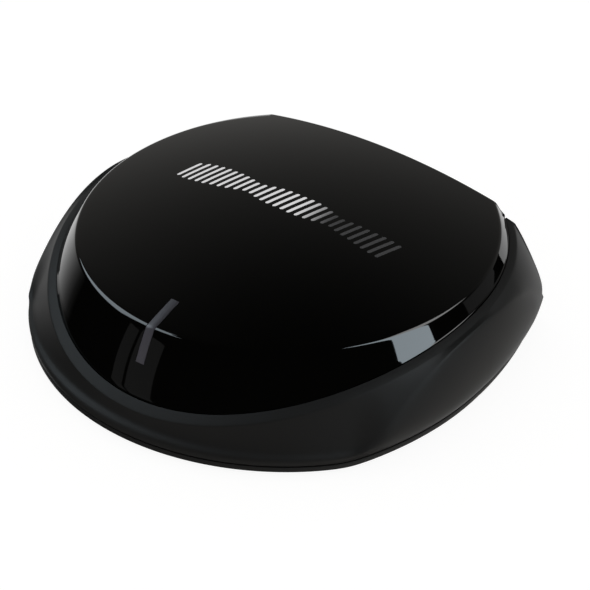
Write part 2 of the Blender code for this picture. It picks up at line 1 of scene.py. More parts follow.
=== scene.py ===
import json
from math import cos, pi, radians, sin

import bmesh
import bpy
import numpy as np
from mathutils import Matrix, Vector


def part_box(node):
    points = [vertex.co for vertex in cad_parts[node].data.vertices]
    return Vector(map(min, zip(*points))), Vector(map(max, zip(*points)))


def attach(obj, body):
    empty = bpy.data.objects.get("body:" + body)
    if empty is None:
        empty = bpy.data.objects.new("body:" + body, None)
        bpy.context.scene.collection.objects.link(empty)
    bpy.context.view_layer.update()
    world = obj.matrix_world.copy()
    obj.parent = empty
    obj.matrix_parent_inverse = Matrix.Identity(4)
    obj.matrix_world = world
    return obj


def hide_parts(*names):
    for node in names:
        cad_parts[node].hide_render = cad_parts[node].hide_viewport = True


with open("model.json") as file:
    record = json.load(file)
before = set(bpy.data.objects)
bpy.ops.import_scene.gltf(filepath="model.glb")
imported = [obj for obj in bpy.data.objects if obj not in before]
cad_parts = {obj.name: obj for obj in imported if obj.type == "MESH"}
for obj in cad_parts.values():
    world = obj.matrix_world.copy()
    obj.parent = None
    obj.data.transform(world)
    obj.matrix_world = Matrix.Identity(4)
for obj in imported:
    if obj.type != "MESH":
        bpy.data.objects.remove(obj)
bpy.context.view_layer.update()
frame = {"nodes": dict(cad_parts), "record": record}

# The looks of the wireless audio receiver: fine surfaces for its shells and visible pieces,
# their materials, the floor, the lights and the camera.
#
# Shapes are worked out in millimetres from the middle of the cover's edge circle in plan, with
# heights above the resting surface, and turned into metres when a mesh is made. Angles run
# anticlockwise from +X, so the front is at -90 degrees.

MM = 0.001

# The same driving dimensions as the CAD
EDGE_R = 30.0
REAR_Y = 22.2
FRONT_R = 37.25
TILT = 0.0296
DOME_RISE = 4.35
COVER_WALL = 1.6
SEAM_Z = 1.9
ARCH_TOP = 0.089 * EDGE_R
ARCH_DROP = 0.56 / EDGE_R
ARCH_FLOOR = 0.405 * EDGE_R
BACK_BULGE = 1.25           # the flank's fullness at the back
FRONT_HOLLOW = 0.16         # the flank's hollow at the front
FACET_TOP_SWELL = 0.42      # how full the facet is near the flank line, per height
FACET_TOP_OUT = 0.15
FACET_LOW_OUT = 2.25        # and near the seam, at the sides
FACET_LOW_BACK = 1.4        # how much less that is straight at the front and the back
FACET_LOW_Z = 1.95
SKIRT_SLOPE = 0.65          # how fast the skirt widens below the edge, and how fast that eases
SKIRT_EASE = 0.6
LEDGE_DEPTH = 1.1           # the ledge under the cover's rim
LEDGE_THICK = 1.4
WALL = 1.8
GAP = 0.3
INDICATOR_W = 1.4
INDICATOR_TOP_LEN = 5.25
INDICATOR_DROP = 4.4
FOOT_PROUD = 0.8
EDGE_Z = FOOT_PROUD + 14.85
PLATE_TOP = 2.4
PLATE_INSET = 2.6
BOSS_TOP = 7.8
BOSS_R = 2.6
PILOT_R = 1.3
FOOT_R = 4.0
AUDIO_HOLE_R = 3.4
DC_HOLE_R = 3.2
BUTTON_HOLE_R = 2.3

# From the frame: the flat back is the cover's furthest point along Y
AXIS_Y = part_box("top_cover")[1][1] / MM - REAR_Y

# Only in the looks
SEAM_SHADOW = 0.22          # visible gap between the housing and the base plate
SEAM_GAP = 0.05             # visible gap between the cover and the band
BACK_ROUND = 0.3            # rounding between the sides and the flat back
BACK_SLIM = (0.42, 0.24)    # how much slimmer the facet is near the back corners, high and low
CREASE = 0.35               # rounding of the cover's edge
RIM_ROUND = 0.12            # rounding of the cover's lower rim
PAST = 1.0                  # how far a cut runs past what it cuts
MARK_Y = -0.4               # middle of the print on the cover, and half its length
MARK_HALF = 17.6
MARK_BARS = 29
HALF_STATIONS = 150         # points on each half of a row, and on a straight back
CHORD_STATIONS = 60
SOFT_PASSES = 3             # how often the housing's profile is evened out
ROUND_STEPS = 5             # rows in a rounding
SWEEP = np.radians(np.linspace(-90, 76, 1661))      # where the surfaces are sampled
QUARTER = pi / 2


# Meshes

def to_world(points):
    """Millimetres about the edge circle's middle to metres in the frame."""
    return [(x * MM, (y + AXIS_Y) * MM, z * MM) for x, y, z in points]


def finish_mesh(name, bm, body="case", replaces=(), sharp=30):
    """A smooth-shaded piece that rides a body and, if asked, stands in for CAD nodes."""
    bmesh.ops.recalc_face_normals(bm, faces=bm.faces)
    mesh = bpy.data.meshes.new(name)
    bm.to_mesh(mesh)
    bm.free()
    mesh.shade_smooth()
    mesh.set_sharp_from_angle(angle=radians(sharp))
    obj = bpy.data.objects.new(name, mesh)
    bpy.context.scene.collection.objects.link(obj)
    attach(obj, body)
    if replaces:
        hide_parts(*replaces)
    return obj


def cut(obj, cutters, sharp=30, operation="DIFFERENCE"):
    """Take the helpers away from obj, or join them to it, and delete them."""
    for cutter in cutters:
        modifier = obj.modifiers.new("cut", "BOOLEAN")
        modifier.operation = operation
        modifier.object = cutter
    depsgraph = bpy.context.evaluated_depsgraph_get()
    mesh = bpy.data.meshes.new_from_object(obj.evaluated_get(depsgraph))
    obj.modifiers.clear()
    obj.data = mesh
    for cutter in cutters:
        bpy.data.objects.remove(cutter)
    obj.data.shade_smooth()
    obj.data.set_sharp_from_angle(angle=radians(sharp))
    return obj


def helper(bm):
    """A solid to cut or join with; it is deleted once used."""
    bmesh.ops.recalc_face_normals(bm, faces=bm.faces)
    mesh = bpy.data.meshes.new("helper")
    bm.to_mesh(mesh)
    bm.free()
    obj = bpy.data.objects.new("helper", mesh)
    bpy.context.scene.collection.objects.link(obj)
    return obj


def box_mesh(low, high, bevel=0.0):
    """A box between two corners, with its edges rounded if asked."""
    bm = bmesh.new()
    bmesh.ops.create_cube(bm, size=1.0)
    low, high = (Vector(p) for p in to_world([low, high]))
    size = high - low
    bm.transform(Matrix.Translation((low + high) / 2) @ Matrix.Diagonal((*size, 1.0)))
    if bevel:
        bmesh.ops.bevel(bm, geom=bm.edges[:], offset=bevel * MM, segments=3,
                        profile=0.5, affect="EDGES")
    return bm


def turned_mesh(profile, centre, axis="Z", sides=64):
    """Turn (radius, along) pairs about an axis; a radius of 0 closes an end."""
    bm = bmesh.new()
    rings = []
    for radius, along in profile:
        ring = []
        for i in range(sides if radius else 1):
            turn = 2 * pi * i / sides
            local = (radius * cos(turn), radius * sin(turn), along)
            if axis == "Y":
                local = (local[0], local[2], local[1])
            place = [c + p for c, p in zip(centre, local)]
            ring.append(bm.verts.new(to_world([place])[0]))
        rings.append(ring)
    for low, high in zip(rings, rings[1:]):
        join_rings(bm, low, high)
    if len(rings[0]) > 1:
        join_rings(bm, rings[-1], rings[0])
    return bm


def join_rings(bm, low, high):
    """Faces between two closed rings of as many vertices, or between a ring and a point."""
    count = max(len(low), len(high))
    for i in range(count):
        j = (i + 1) % count
        if len(low) == 1:
            bm.faces.new((low[0], high[j], high[i]))
        elif len(high) == 1:
            bm.faces.new((low[i], low[j], high[0]))
        else:
            bm.faces.new((low[i], low[j], high[j], high[i]))


# The unit's surfaces, as radius and height for an array of angles

def smooth_min(a, b, width):
    return (a + b - np.sqrt((a - b) ** 2 + width ** 2)) / 2


def smooth_max(a, b, width):
    return (a + b + np.sqrt((a - b) ** 2 + width ** 2)) / 2


def mixed(a, b, share):
    return a + (b - a) * share


def eased(share):
    share = np.clip(share, 0, 1)
    return share * share * (3 - 2 * share)


def plan_radius(angle, half_width, front_bow, rear_bow, widest_y):
    """Where the ray meets the side curve x = half_width - bow * (y - widest_y)^2."""
    across, back = np.abs(np.cos(angle)), np.sin(angle)
    bow = np.where(back > 0, rear_bow, front_bow) / EDGE_R
    a = np.maximum(bow * back * back, 1e-9)
    b = across - 2 * bow * back * widest_y
    c = bow * widest_y ** 2 - half_width
    return (np.sqrt(b * b - 4 * a * c) - b) / (2 * a)


def skirt_radius(depth):
    """The cover's radius at a depth below its edge."""
    d = depth / EDGE_R
    return EDGE_R * (1 + SKIRT_SLOPE * d - SKIRT_EASE * d * d)


def forwardness(y):
    """How far to the front a place is, in edge radii, going softly to 0 at the back."""
    return smooth_max(-y / EDGE_R, 0.0, 0.2)


def rim_depth(y):
    """How far the cover's lower rim lies below its edge: deepest at the front."""
    s = forwardness(y)
    return EDGE_R * (0.064 + 0.075 * s + 0.04 * s ** 2 + 0.06 * s ** 3)


def cover_rim(angle):
    """The cover's lower rim as radius, height and depth; depth and radius depend on each other."""
    radius = np.full_like(angle, EDGE_R)
    for _ in range(30):
        depth = rim_depth(radius * np.sin(angle))
        radius = skirt_radius(depth)
    return radius, EDGE_Z + TILT * radius * np.sin(angle) - depth, depth


def band_edge(angle):
    """The outer edge of the band round the cover: wider and lower at the front."""
    radius, height, _ = cover_rim(angle)
    share = np.minimum(forwardness(radius * np.sin(angle)) / 1.13, 1.0)
    return radius + mixed(1.15, 1.5, share), height - mixed(0.35, 0.93, share)


def flank_line(angle):
    """The arching crease between the flank and the facet below it."""
    side = plan_radius(angle, 1.110 * EDGE_R, 0.17, 0.24, 0.0)
    front = EDGE_R * (1.203 + 0.03 * np.cos(angle) ** 2)
    radius = smooth_min(side, front, 0.4)
    arch = -ARCH_TOP - ARCH_DROP * (radius * np.sin(angle)) ** 2
    return radius, EDGE_Z + smooth_max(arch, -ARCH_FLOOR, 0.6)


def seam_radius(angle):
    """The housing's lower edge: two bowed sides and a round front."""
    side = plan_radius(angle, 1.115 * EDGE_R, 0.33, 0.236, -0.1 * EDGE_R)
    return np.minimum(smooth_min(side, FRONT_R, 0.5) + 0.003, FRONT_R)


def facet_point(angle, t):
    """From the flank line (t = 0) down to the seam (t = 1), as a cubic curve.

    The curve swells where the facet is high enough (fullness), and less so near the back
    corners (rear).
    """
    top_r, top_z = flank_line(angle)
    low_r = seam_radius(angle)
    height = top_z - SEAM_Z
    fullness = eased((height - 1.0) / 1.3)
    step = (low_r - top_r) / 3
    rear = eased((np.sin(angle) - 0.42) / 0.18)
    high_out = FACET_TOP_SWELL * height / 3 + FACET_TOP_OUT
    low_out = FACET_LOW_OUT - FACET_LOW_BACK * np.sin(angle) ** 2
    r1 = top_r + mixed(step, high_out, fullness) - BACK_SLIM[0] * rear
    z1 = top_z - height / 3
    r2 = low_r + mixed(-step, low_out, fullness) - BACK_SLIM[1] * rear
    z2 = SEAM_Z + mixed(height / 3, FACET_LOW_Z, fullness)
    u = 1 - t
    weights = (u ** 3, 3 * u * u * t, 3 * u * t * t, t ** 3)
    radius = sum(w * r for w, r in zip(weights, (top_r, r1, r2, low_r)))
    return radius, sum(w * z for w, z in zip(weights, (top_z, z1, z2, SEAM_Z)))


def flank_point(angle, t):
    """From the flank line (t = 0) up to the band's outer edge (t = 1)."""
    (r1, z1), (r2, z2) = flank_line(angle), band_edge(angle)
    bulge = np.where(np.sin(angle) > 0, BACK_BULGE, FRONT_HOLLOW)
    bulge = bulge * np.sin(angle) * np.minimum(np.abs(z2 - z1) / 3, 1.0)
    return mixed(r1, r2, t) + bulge * 3.2 * t ** 0.7 * (1 - t), mixed(z1, z2, t)


def dome_height(x, y):
    share = (x * x + y * y) / EDGE_R ** 2
    return EDGE_Z + DOME_RISE * (1 - share) + TILT * y


# Rows of points from the left rear corner round the front to the right rear corner

def row_of(radius, height, back=REAR_Y - BACK_ROUND):
    """The row whose radius and height are given for SWEEP's angles. It stops at y = back."""
    x, y = radius * np.cos(SWEEP), radius * np.sin(SWEEP)
    stop = np.interp(back, y, SWEEP)
    angle = np.linspace(-QUARTER, stop, HALF_STATIONS)
    right = np.stack([np.interp(angle, SWEEP, values) for values in (x, y, height)], axis=1)
    right[0, 0] = 0.0
    left = right[:0:-1] * (-1, 1, 1)
    return np.vstack([left, right])


def row(surface):
    """The row of a function that gives radius and height for an array of angles."""
    return row_of(*surface(SWEEP))


def corner_rows(start, corner, end, shares):
    """Rows of a curve that leaves start towards corner and reaches end from there."""
    rows = []
    for t in shares:
        ends = zip(start, corner, end)
        rows.append(row_of(*((1 - t) ** 2 * a + 2 * t * (1 - t) * b + t * t * c for a, b, c in ends)))
    return rows


def rounded_rows(surfaces, sizes, soft):
    """Rows along a profile whose inner corners are rounded.

    surfaces is a list of functions of the angle. sizes gives, for each, how far the rounding
    reaches to both sides of it, or 0 for a plain row. The first soft rows are evened out along
    the profile, which rounds the corner between the facets and the flanks.
    """
    sampled = [surface(SWEEP) for surface in surfaces]
    for _ in range(SOFT_PASSES):
        threes = zip(sampled, sampled[1:soft], sampled[2:])
        sampled[1:soft] = [[(a + 2 * b + c) / 4 for a, b, c in zip(*three)] for three in threes]
    rows = []
    for i, ((r, z), size) in enumerate(zip(sampled, sizes)):
        if not size:
            rows.append(row_of(r, z))
            continue
        (r0, z0), (r2, z2) = sampled[i - 1], sampled[i + 1]
        before = np.minimum(size / np.hypot(r0 - r, z0 - z), 0.45)
        after = np.minimum(size / np.hypot(r2 - r, z2 - z), 0.45)
        start = (mixed(r, r0, before), mixed(z, z0, before))
        end = (mixed(r, r2, after), mixed(z, z2, after))
        rows += corner_rows(start, (r, z), end, np.linspace(0, 1, ROUND_STEPS))
    return rows


def dome_rows(radius, below, count):
    """D-shaped loops under the dome, from its edge to near its middle, and the middle point."""
    y_back = REAR_Y - BACK_ROUND
    corner = np.arcsin(y_back / radius)
    half = np.linspace(-QUARTER, corner, HALF_STATIONS)
    right = np.stack([radius * np.cos(half), radius * np.sin(half)], axis=1)
    right[0, 0] = 0.0
    arc = np.vstack([right[:0:-1] * (-1, 1), right])
    edge_x = radius * cos(corner)
    chord = [(x, y_back) for x in np.linspace(edge_x, -edge_x, CHORD_STATIONS + 2)[1:-1]]
    outline = np.vstack([arc, chord])
    loops = []
    for share in np.linspace(1, 0, count + 1)[:-1] ** 0.9:
        x, y = outline[:, 0] * share, outline[:, 1] * share
        loops.append(np.stack([x, y, dome_height(x, y) - below], axis=1))
    loops.append(np.array([[0.0, 0.0, dome_height(0, 0) - below]]))
    return loops


class Shell:
    """A closed mesh grown row by row."""

    def __init__(self):
        self.bm = bmesh.new()

    def add(self, points):
        return [self.bm.verts.new(p) for p in to_world(points)]

    def strip(self, low, high):
        for i in range(len(low) - 1):
            self.bm.faces.new((low[i], low[i + 1], high[i + 1], high[i]))

    def loops(self, rings):
        for low, high in zip(rings, rings[1:]):
            join_rings(self.bm, low, high)

    def round_back(self, boundary, closed, reach=BACK_ROUND):
        """Round the boundary, which lies across the back, over to the flat back face.

        boundary is a list of vertices in order, and reach is how far in the flat face starts,
        as one number or one for each of them. Returns the rows, the last one on the flat.
        """
        reach = np.broadcast_to(reach, len(boundary))[:, None]
        points = np.array([v.co[:] for v in boundary]) / MM
        xz = points[:, (0, 2)]
        before = np.roll(xz, 1, axis=0)
        after = np.roll(xz, -1, axis=0)
        if not closed:
            before[0], after[-1] = xz[0], xz[-1]
        normals = []
        for p, q, s in zip(before, xz, after):
            d1, d2 = q - p, s - q
            n1, n2 = (np.array((-d[1], d[0])) for d in (d1, d2))
            n1, n2 = (n / max(np.hypot(*n), 1e-9) for n in (n1, n2))
            total = n1 + n2
            size = max(float(total @ total), 0.5)
            inside = np.hypot(*d1) and np.hypot(*d2)
            normals.append(2 * total / size if inside else total)
        normals = np.array(normals)
        if not closed:
            normals[0] = (np.sign(normals[0][0]), 0.0)
            normals[-1] = (np.sign(normals[-1][0]), 0.0)
        rows = [boundary]
        for j in range(1, ROUND_STEPS + 1):
            turn = j / ROUND_STEPS * QUARTER
            moved = xz + normals * reach * (1 - cos(turn))
            y = REAR_Y - BACK_ROUND * (1 - sin(turn))
            made = [self.bm.verts.new((x * MM, (y + AXIS_Y) * MM, z * MM)) for x, z in moved]
            if closed:
                join_rings(self.bm, rows[-1], made)
            else:
                self.strip(rows[-1], made)
            rows.append(made)
        return rows


def arc_of(loop):
    """The vertices of a D-shaped loop's round stretch, both corners included."""
    return loop[:2 * HALF_STATIONS - 1]


def chord_of(loop):
    """The vertices of a D-shaped loop's straight back, between its two corners."""
    return loop[2 * HALF_STATIONS - 1:]


def box_of(node):
    """The two corners of a CAD node's box, in millimetres about the edge circle's middle."""
    return (np.array(p) / MM - (0, AXIS_Y, 0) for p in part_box(node))


def centre_of(node):
    """The middle of a CAD node in plan."""
    low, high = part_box(node)
    middle = (low + high) / 2
    return middle.x / MM, middle.y / MM - AXIS_Y


def axis_of(node):
    """Where the axis of a CAD node that is turned about Y lies, seen from the back."""
    low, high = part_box(node)
    middle = (low + high) / 2
    return middle.x / MM, middle.z / MM


# Cover

def skirt_surface(depth_share, inset=0.0, drop=0.0):
    """The skirt at a share of its depth, or a surface so far inside it and below it."""
    def surface(angle):
        depth = cover_rim(angle)[2] * depth_share
        radius = skirt_radius(depth)
        return radius - inset, EDGE_Z + TILT * radius * np.sin(angle) - depth - drop
    return surface


def dome_edge(inset):
    """The dome's surface a little inside its edge."""
    def surface(angle):
        radius = np.full_like(angle, EDGE_R - inset)
        return radius, dome_height(radius * np.cos(angle), radius * np.sin(angle))
    return surface


def below_crease(share):
    """The skirt between the crease's rounding (share = 0) and the rim (share = 1)."""
    def surface(angle):
        depth = mixed(CREASE * 0.84, cover_rim(angle)[2], share)
        radius = skirt_radius(depth)
        return radius, EDGE_Z + TILT * radius * np.sin(angle) - depth
    return surface


def make_cover():
    """The domed cover with its skirt, its wall and the slot for the light bar."""
    shell = Shell()
    dome = [shell.add(loop) for loop in dome_rows(EDGE_R - CREASE, 0.0, 30)]
    shell.loops(dome)

    crease = (dome_edge(CREASE), skirt_surface(0.0), below_crease(0.0))
    rows = corner_rows(*(surface(SWEEP) for surface in crease), np.linspace(0, 1, 7)[1:])
    rows += [row(below_crease(share)) for share in np.linspace(0, 1, 12)[1:-1]]
    for turn in np.linspace(0, QUARTER, 5):
        rows.append(row(skirt_surface(1.0, RIM_ROUND * (1 - cos(turn)), RIM_ROUND * (sin(turn) - 1))))
    tongue = 0.8
    rows.append(row(skirt_surface(1.0, RIM_ROUND, tongue)))
    rows.append(row(skirt_surface(1.0, COVER_WALL, tongue)))
    rows.append(row(skirt_surface(1.0, COVER_WALL)))
    rows.append(row(skirt_surface(0.5, COVER_WALL)))
    rows = [shell.add(r) for r in rows]
    under = [shell.add(loop) for loop in dome_rows(EDGE_R - COVER_WALL, COVER_WALL, 10)]
    shell.loops(under)

    all_rows = [arc_of(dome[0])] + rows + [arc_of(under[0])]
    for low, high in zip(all_rows, all_rows[1:]):
        shell.strip(low, high)
    # The boundary across the back: over the dome from right to left, down the left side, back
    # under the dome, and up the right side
    boundary = [arc_of(dome[0])[-1]] + chord_of(dome[0]) + [r[0] for r in [dome[0]] + rows]
    boundary += [under[0][0]] + chord_of(under[0])[::-1] + [arc_of(under[0])[-1]]
    boundary += [r[-1] for r in rows[::-1]]
    last = shell.round_back(boundary, True)[-1]
    shell.bm.faces.new(last)
    cover = finish_mesh("cover_shell", shell.bm, replaces=["top_cover"], sharp=40)
    gap = 0.05
    half = INDICATOR_W / 2 + gap
    slot_end = EDGE_Z - TILT * EDGE_R - INDICATOR_DROP - gap
    above = EDGE_Z + DOME_RISE + PAST
    slot = helper(box_mesh((-half, -EDGE_R - INDICATOR_DROP, slot_end),
                           (half, -EDGE_R + INDICATOR_TOP_LEN + gap, above)))
    return cut(cover, [slot], sharp=40)


# Housing

def rim_surface(outset, drop):
    """The cover's rim, moved outwards and down."""
    def surface(angle):
        radius, height, _ = cover_rim(angle)
        return radius + outset, height - drop
    return surface


def seam(angle):
    return seam_radius(angle), np.full_like(angle, SEAM_Z)


def make_housing_solid():
    """The housing as a full block: facets, flanks and band outside, and a ledge for the cover."""
    shell = Shell()
    facets = [lambda a, t=t: facet_point(a, t) for t in np.linspace(0.97, 0.06, 15)]
    flanks = [lambda a, t=t: flank_point(a, t) for t in np.linspace(0.05, 0.92, 14)]
    below = COVER_WALL + GAP
    surfaces = [seam] + facets + [flank_line] + flanks + [band_edge]
    surfaces += [rim_surface(SEAM_GAP, 0.0)]
    surfaces += [rim_surface(SEAM_GAP, LEDGE_DEPTH), rim_surface(-below, LEDGE_DEPTH)]
    wide = len(facets) + 1 + len(flanks)
    band_round, rim_round = 0.22, 0.1
    sizes = [0] * (wide + 1) + [band_round, rim_round, 0, 0]
    rows = [shell.add(r) for r in rounded_rows(surfaces, sizes, soft=wide)]
    under = [shell.add(loop) for loop in dome_rows(EDGE_R - below, below, 6)]
    shell.loops(under)
    all_rows = rows + [arc_of(under[0])]
    for low, high in zip(all_rows, all_rows[1:]):
        shell.strip(low, high)
    # The boundary across the back: up the right side, over under the cover, down the left side
    boundary = [r[-1] for r in rows] + [arc_of(under[0])[-1]] + chord_of(under[0]) + [under[0][0]]
    boundary += [r[0] for r in rows[::-1]]
    # The rounding is full on the facets, and tapers to a slight one on the narrow band
    slight = 0.04
    reach = np.full(len(boundary), slight)
    reach[:wide] = np.clip(np.arange(wide, 0, -1) * 0.05, slight, BACK_ROUND)
    reach[-wide:] = reach[:wide][::-1]
    back = shell.round_back(boundary, False, reach)
    shell.bm.faces.new(back[-1])
    shell.bm.faces.new(rows[0] + [r[0] for r in back[1:]] + [r[-1] for r in back[:0:-1]])
    return finish_mesh("housing_shell", shell.bm, replaces=["housing"])


def port_openings():
    """The round holes for two jacks and the button, and the square one for the optical socket."""
    inside = REAR_Y - WALL - PAST
    chamfer = 0.2
    openings = []
    for node, radius in (("audio_jack_ring", AUDIO_HOLE_R), ("dc_jack_pin", DC_HOLE_R),
                         ("pair_button", BUTTON_HOLE_R)):
        x, z = axis_of(node)
        profile = [(0, inside), (radius, inside), (radius, REAR_Y - chamfer),
                   (radius + 2 * chamfer, REAR_Y + chamfer), (0, REAR_Y + chamfer)]
        openings.append(helper(turned_mesh(profile, (x, 0, z), "Y", 72)))
    low, high = box_of("optical_jack")
    openings.append(helper(box_mesh((low[0] - GAP, inside, low[2] - GAP),
                                    (high[0] + GAP, REAR_Y + PAST, high[2] + GAP))))
    return openings


def make_housing():
    housing = make_housing_solid()
    cut(housing, port_openings())
    cut(housing, [make_cavity()])
    pilot_top = BOSS_TOP - 0.8
    for x, y in (centre_of(f"base_screw_{i}") for i in range(1, 5)):
        boss = [(0, PLATE_TOP + GAP), (BOSS_R, PLATE_TOP + GAP), (BOSS_R, BOSS_TOP), (0, BOSS_TOP)]
        pilot = [(0, 0), (PILOT_R, 0), (PILOT_R, pilot_top), (0, pilot_top)]
        cut(housing, [helper(turned_mesh(boss, (x, y, 0), sides=32))], operation="UNION")
        cut(housing, [helper(turned_mesh(pilot, (x, y, 0), sides=24))])
    return housing


def make_cavity():
    """The space inside the housing, as in the CAD."""
    rim_r, rim_z, _ = cover_rim(SWEEP)
    under_ledge = rim_z - LEDGE_DEPTH - LEDGE_THICK
    inside_ledge = rim_r - COVER_WALL - GAP
    low_wall = seam_radius(SWEEP) - WALL
    mid_wall = facet_point(SWEEP, 0.5)[0] - WALL
    high_wall = band_edge(SWEEP)[0] - WALL
    level = np.ones_like(SWEEP)
    outlines = ((low_wall, -5.0 * level), (low_wall, SEAM_Z * level),
                (mid_wall, mixed(SEAM_Z, under_ledge, 0.5)), (high_wall, under_ledge),
                (inside_ledge, under_ledge), (inside_ledge, 40.0 * level))
    shell = Shell()
    rings = []
    for radius, height in outlines:
        points = row_of(radius, height, REAR_Y - WALL)
        rings.append(shell.add(points[::6]))
    shell.loops(rings)
    shell.bm.faces.new(rings[0])
    shell.bm.faces.new(rings[-1])
    return helper(shell.bm)


# Base plate, light bar and other visible pieces

def d_outline(inset, z):
    """The seam's outline with a flat back and rounded corners, as one closed loop at height z."""
    radius = seam_radius(SWEEP) - inset
    x, y = radius * np.cos(SWEEP), radius * np.sin(SWEEP)
    stop = np.interp(REAR_Y - BACK_ROUND - inset, y, SWEEP)
    angle = np.linspace(-QUARTER, stop, HALF_STATIONS)
    right = np.stack([np.interp(angle, SWEEP, v) for v in (x, y)], axis=1)
    right[0, 0] = 0.0
    turn = np.linspace(0, QUARTER, 7)[1:]
    corner = np.stack([np.cos(turn) - 1, np.sin(turn)], axis=1)
    right = np.vstack([right, right[-1] + BACK_ROUND * corner])
    left = right[:0:-1] * (-1, 1)
    return [(px, py, z) for px, py in np.vstack([left, right])]


def make_base_plate():
    """The base plate with softened edges, recesses for the feet and label, and screw wells."""
    shell = Shell()
    rim_top = SEAM_Z - SEAM_SHADOW
    steps = [(0.25, FOOT_PROUD), (0.12, FOOT_PROUD + 0.03), (0.03, FOOT_PROUD + 0.12),
             (0.0, FOOT_PROUD + 0.25), (0.0, rim_top - 0.12), (0.03, rim_top - 0.03),
             (0.12, rim_top), (PLATE_INSET, rim_top), (PLATE_INSET, PLATE_TOP)]
    rings = [shell.add(d_outline(inset, z)) for inset, z in steps]
    shell.loops(rings)
    shell.bm.faces.new(rings[0])
    shell.bm.faces.new(rings[-1])
    plate = finish_mesh("base_shell", shell.bm, replaces=["base_plate"])
    cutters = []
    recess_r, recess_top = FOOT_R + 0.2, 1.3
    recess = [(0, 0), (recess_r, 0), (recess_r, recess_top), (0, recess_top)]
    well_r, well_top, chamfer, above = 2.2, 1.7, 0.15, 5
    well = [(0, 0.5), (well_r + chamfer, 0.5), (well_r + chamfer, FOOT_PROUD),
            (well_r, FOOT_PROUD + chamfer), (well_r, well_top), (PILOT_R, well_top),
            (PILOT_R, above), (0, above)]
    for i in range(1, 5):
        cutters.append(helper(turned_mesh(recess, (*centre_of(f"foot_{i}"), 0))))
    for i in range(1, 5):
        cutters.append(helper(turned_mesh(well, (*centre_of(f"base_screw_{i}"), 0))))
    low, high = box_of("rating_label")
    label_top = 1.2
    cutters.append(helper(box_mesh((low[0] - GAP, low[1] - GAP, 0),
                                   (high[0] + GAP, high[1] + GAP, label_top))))
    return cut(plate, cutters)


def make_feet():
    """Round rubber feet with a softly rounded lower edge and a shallow ring."""
    made = []
    hollow_r, hollow, edge = 2.2, 0.12, 0.5
    for i in range(1, 5):
        x, y = centre_of(f"foot_{i}")
        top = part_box(f"foot_{i}")[1].z / MM
        profile = [(0, hollow), (hollow_r, hollow), (hollow_r + 0.1, hollow / 2), (hollow_r + 0.2, 0),
                   (FOOT_R - edge, 0)]
        profile += [(FOOT_R - edge + edge * sin(t), edge - edge * cos(t))
                    for t in np.linspace(0, QUARTER, 6)[1:]]
        profile += [(FOOT_R, top), (0, top)]
        made.append(finish_mesh(f"foot_pad_{i}", turned_mesh(profile, (x, y, 0), sides=72),
                                replaces=[f"foot_{i}"]))
    return made


def make_base_screws():
    """Pan-head screws with a cross recess, sunk in the base plate."""
    made = []
    head_top, shank_r, point = 1.4, 1.0, 0.6
    edge, edge_high = 0.4, 0.35
    for i in range(1, 5):
        low, high = box_of(f"base_screw_{i}")
        x, y = centre_of(f"base_screw_{i}")
        face, head_r, tip = low[2], (high[0] - low[0]) / 2, high[2]
        profile = [(0, face), (head_r - edge, face)]
        profile += [(head_r - edge + edge * sin(t), face + edge_high * (1 - cos(t)))
                    for t in np.linspace(0, QUARTER, 5)[1:]]
        profile += [(head_r, head_top), (shank_r, head_top), (shank_r, tip - point),
                    (shank_r * 0.6, tip), (0, tip)]
        screw = finish_mesh(f"base_screw_fine_{i}", turned_mesh(profile, (x, y, 0), sides=48),
                            replaces=[f"base_screw_{i}"])
        reach, arm, deep = head_r * 0.62, 0.2, 0.4
        cross = [helper(box_mesh((x - a, y - b, face - PAST), (x + a, y + b, face + deep)))
                 for a, b in ((reach, arm), (arm, reach))]
        made.append(cut(screw, cross))
    return made


# Connectors and the button in the back

BEHIND_WALL = REAR_Y - WALL - GAP


def make_jack(node, turned_node, nose_r, bore_r, nose_end, bore_start):
    """A moulded connector body with a round nose behind the hole in the back.

    turned_node is the CAD node whose axis the nose and the bore share.
    """
    low, high = box_of(node)
    x, z = axis_of(turned_node)
    bevel, chamfer = 0.25, 0.15
    block = box_mesh(low, (high[0], BEHIND_WALL, high[2]), bevel)
    jack = finish_mesh(node + "_body", block, replaces=[node])
    nose = [(0, BEHIND_WALL - PAST), (nose_r, BEHIND_WALL - PAST), (nose_r, nose_end - chamfer),
            (nose_r - chamfer, nose_end), (0, nose_end)]
    mouth_r, beyond = bore_r + 0.35, REAR_Y + 2 * PAST
    bore = [(0, bore_start), (bore_r, bore_start), (bore_r, nose_end - 0.25),
            (mouth_r, nose_end + 0.1), (mouth_r, beyond), (0, beyond)]
    cut(jack, [helper(turned_mesh(nose, (x, 0, z), "Y", 72))], operation="UNION")
    return cut(jack, [helper(turned_mesh(bore, (x, 0, z), "Y", 72))])


def make_jack_ring():
    """The stereo jack's threaded ring, rounded outside and grooved."""
    x, z = axis_of("audio_jack_ring")
    low, high = box_of("audio_jack_ring")
    near, far = low[1], high[1]
    outer, inner, edge, groove = (high[0] - low[0]) / 2, 1.85, 0.3, 0.1
    profile = [(inner, near), (outer, near), (outer, far - edge)]
    profile += [(outer - edge * (1 - cos(t)), far - edge + edge * sin(t))
                for t in np.linspace(0, QUARTER, 5)[1:]]
    profile += [(inner + 0.42, far), (inner + 0.36, far - groove), (inner + 0.14, far - groove),
                (inner, far - 0.22)]
    return finish_mesh("jack_ring_fine", turned_mesh(profile, (x, 0, z), "Y", 96),
                       replaces=["audio_jack_ring"])


